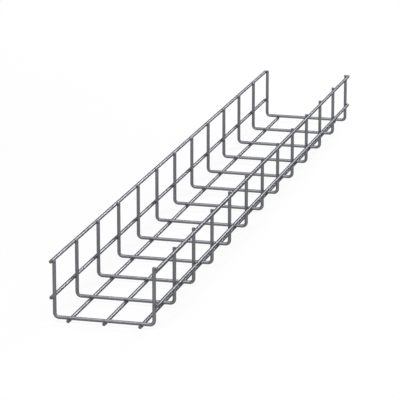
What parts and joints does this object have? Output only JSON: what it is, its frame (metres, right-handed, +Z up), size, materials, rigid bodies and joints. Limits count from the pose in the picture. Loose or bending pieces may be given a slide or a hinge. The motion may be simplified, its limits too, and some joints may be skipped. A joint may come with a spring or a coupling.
{
  "type": "wire mesh cable basket",
  "caption": "Straight length of U-shaped welded wire mesh cable basket, open at the top and at both ends, with bent cross wires inside straight lengthwise wires.",
  "frame": {"origin": "under the middle of the basket, at the level of the undersides of the floor wires", "axes": "+X along the basket, +Y across it towards the wires named left, +Z up out of its open top"},
  "size_m": [1.205, 0.1514, 0.086],
  "materials": {
    "zinc_wire": "bright zinc plated drawn steel wire, semi-gloss, with a slight blue tint"
  },
  "bodies": {
    "root": {"floor_wire_right": "zinc_wire", "floor_wire_middle": "zinc_wire", "floor_wire_left": "zinc_wire", "side_wire_right": "zinc_wire", "side_wire_left": "zinc_wire", "rim_wire_right": "zinc_wire", "rim_wire_left": "zinc_wire", "cross_wire_01": "zinc_wire", "cross_wire_02": "zinc_wire", "cross_wire_03": "zinc_wire", "cross_wire_04": "zinc_wire", "cross_wire_05": "zinc_wire", "cross_wire_06": "zinc_wire", "cross_wire_07": "zinc_wire", "cross_wire_08": "zinc_wire", "cross_wire_09": "zinc_wire", "cross_wire_10": "zinc_wire", "cross_wire_11": "zinc_wire", "cross_wire_12": "zinc_wire", "cross_wire_13": "zinc_wire"}
  },
  "joints": []
}
